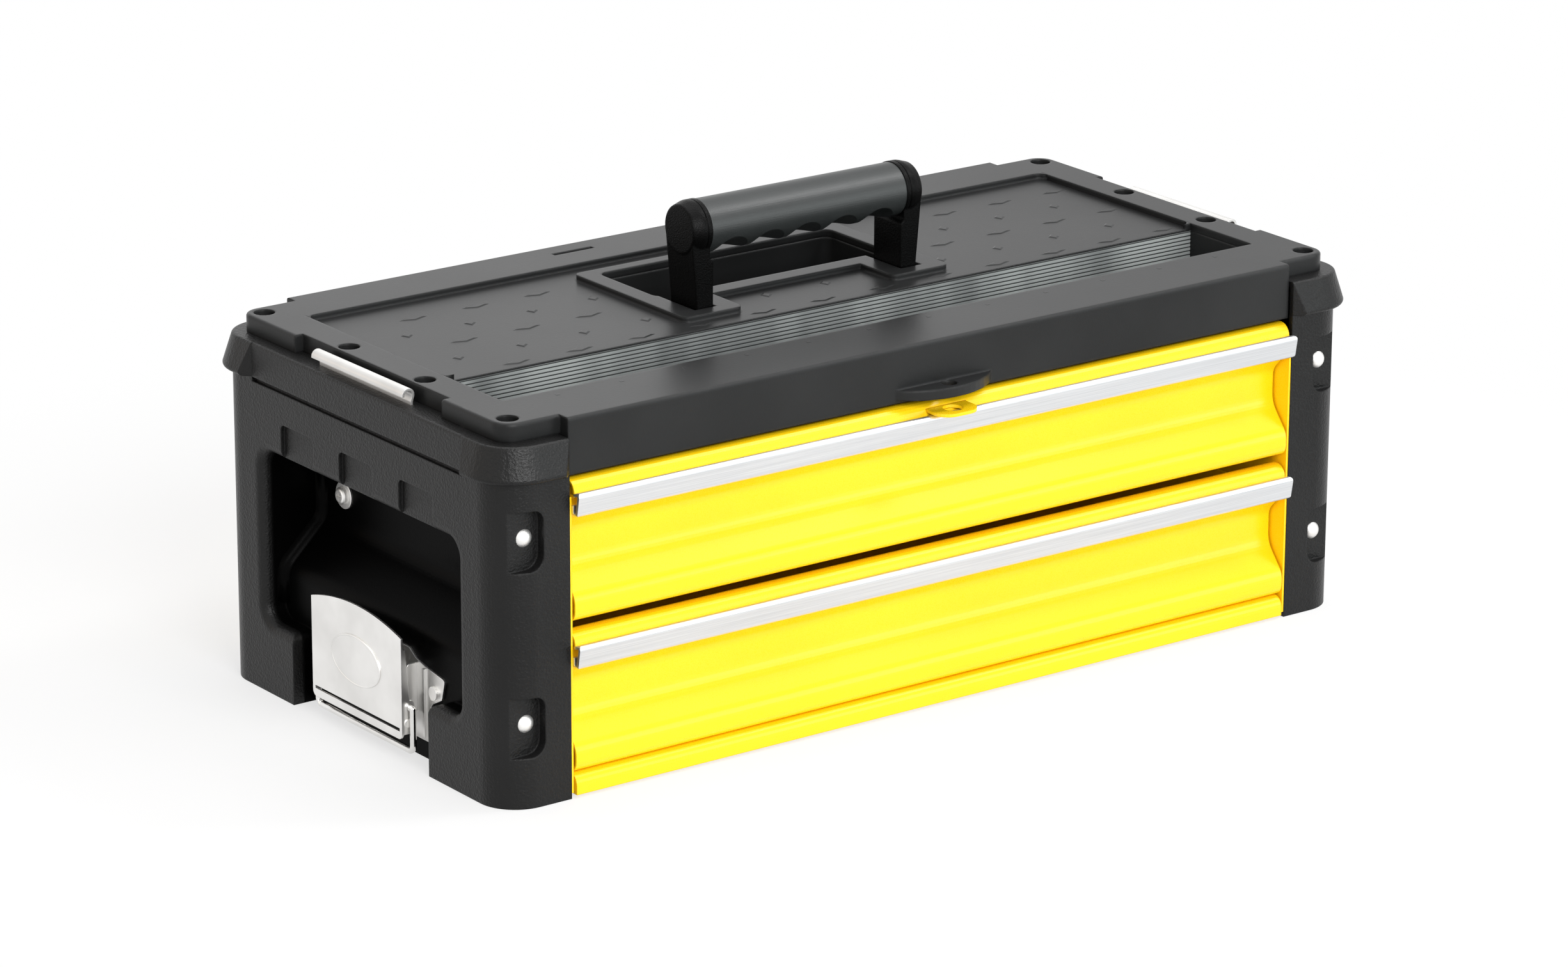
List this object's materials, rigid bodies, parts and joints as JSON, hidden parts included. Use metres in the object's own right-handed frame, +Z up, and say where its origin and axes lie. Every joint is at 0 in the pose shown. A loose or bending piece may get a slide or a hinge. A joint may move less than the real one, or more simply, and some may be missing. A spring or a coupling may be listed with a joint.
{
  "type": "rolling tool case",
  "caption": "Stacking tool case module with steel drawers on ball runners, moulded end caps and cover, fold-down handle, long tool channel and draw latches in the ends.",
  "frame": {"origin": "on the floor, at the middle of the whole footprint", "axes": "+X right along the front, +Y to the back (the drawers open towards -Y), +Z up"},
  "size_m": [0.5248, 0.2668, 0.2379],
  "materials": {
    "end_cap_plastic": "leather-grained black moulding",
    "cover_plastic": "fine-textured black moulding",
    "channel_plastic": "glossy grey ribbed moulding",
    "handle_plastic": "satin black moulding",
    "grip_rubber": "matt dark grey rubber",
    "shell_paint": "satin yellow powder coat",
    "drawer_paint": "satin yellow powder coat",
    "pull_aluminium": "lengthwise brushed",
    "latch_steel": "bright zinc plate",
    "bail_steel": "bright plated wire",
    "catch_steel": "bright zinc plate",
    "runner_steel": "zinc plate",
    "black_screws": "black oxide",
    "rivet_steel": "bright plate"
  },
  "bodies": {
    "case": {"end_cap_left": "end_cap_plastic", "end_cap_right": "end_cap_plastic", "side_panel_left": "shell_paint", "side_panel_right": "shell_paint", "back_panel": "shell_paint", "base_pan": "shell_paint", "top_cover": "cover_plastic", "cover_front_rail": "cover_plastic", "cover_side_rail_left": "cover_plastic", "cover_side_rail_right": "cover_plastic", "channel_bottom": "channel_plastic", "channel_wall_front": "channel_plastic", "channel_wall_rear": "channel_plastic", "channel_ends": "channel_plastic", "handle_base": "cover_plastic", "recess_liner_left": "end_cap_plastic", "recess_liner_right": "end_cap_plastic", "cover_screws": "black_screws", "post_rivets": "rivet_steel", "recess_screws": "rivet_steel", "catch_plate_left": "catch_steel", "catch_plate_right": "catch_steel", "latch_base_left": "latch_steel", "latch_base_right": "latch_steel", "latch_rivets": "rivet_steel", "handle_pins": "rivet_steel", "runner_outer_upper_left": "runner_steel", "runner_outer_upper_right": "runner_steel", "runner_outer_lower_left": "runner_steel", "runner_outer_lower_right": "runner_steel"},
    "handle": {"handle_frame": "handle_plastic", "handle_grip": "grip_rubber"},
    "drawer_upper": {"drawer_tray_upper": "drawer_paint", "drawer_front_upper": "drawer_paint", "drawer_pull_upper": "pull_aluminium", "hasp_tab": "drawer_paint", "runner_inner_upper_left": "runner_steel", "runner_inner_upper_right": "runner_steel"},
    "cage_upper": {"ball_cage_upper_left": "runner_steel", "ball_cage_upper_right": "runner_steel"},
    "drawer_lower": {"drawer_tray_lower": "drawer_paint", "drawer_front_lower": "drawer_paint", "drawer_pull_lower": "pull_aluminium", "runner_inner_lower_left": "runner_steel", "runner_inner_lower_right": "runner_steel"},
    "cage_lower": {"ball_cage_lower_left": "runner_steel", "ball_cage_lower_right": "runner_steel"},
    "lever_left": {"latch_lever_left": "latch_steel", "lever_pins_left": "rivet_steel"},
    "bail_left": {"latch_bail_left": "bail_steel"},
    "lever_right": {"latch_lever_right": "latch_steel", "lever_pins_right": "rivet_steel"},
    "bail_right": {"latch_bail_right": "bail_steel"}
  },
  "joints": [
    {"name": "handle_fold", "type": "hinge", "parent": "case", "child": "handle", "pos_m": [0, 0.00344, 0.171], "axis": [-1, 0, 0], "range_deg": [0, 90]},
    {"name": "drawer_upper_slide", "type": "slide", "parent": "case", "child": "drawer_upper", "axis": [0, -1, 0], "range_m": [0, 0.15]},
    {"name": "cage_upper_slide", "type": "slide", "parent": "case", "child": "cage_upper", "axis": [0, -1, 0], "range_m": [0, 0.075]},
    {"name": "drawer_lower_slide", "type": "slide", "parent": "case", "child": "drawer_lower", "axis": [0, -1, 0], "range_m": [0, 0.15]},
    {"name": "cage_lower_slide", "type": "slide", "parent": "case", "child": "cage_lower", "axis": [0, -1, 0], "range_m": [0, 0.075]},
    {"name": "lever_left_hinge", "type": "hinge", "parent": "case", "child": "lever_left", "pos_m": [-0.2547, 0.00584, 0.0195], "axis": [0, -1, 0], "range_deg": [0, 100]},
    {"name": "bail_left_hinge", "type": "hinge", "parent": "lever_left", "child": "bail_left", "pos_m": [-0.2535, 0.00584, 0.027], "axis": [0, -1, 0], "range_deg": [-145, 0]},
    {"name": "lever_right_hinge", "type": "hinge", "parent": "case", "child": "lever_right", "pos_m": [0.2547, 0.00584, 0.0195], "axis": [0, 1, 0], "range_deg": [0, 100]},
    {"name": "bail_right_hinge", "type": "hinge", "parent": "lever_right", "child": "bail_right", "pos_m": [0.2535, 0.00584, 0.027], "axis": [0, 1, 0], "range_deg": [-145, 0]}
  ],
  "couplings": [
    {"joint": "cage_upper_slide", "follows": "drawer_upper_slide", "ratio": 0.5},
    {"joint": "cage_lower_slide", "follows": "drawer_lower_slide", "ratio": 0.5},
    {"joint": "bail_left_hinge", "follows": "lever_left_hinge", "ratio": -1.45},
    {"joint": "bail_right_hinge", "follows": "lever_right_hinge", "ratio": -1.45}
  ]
}
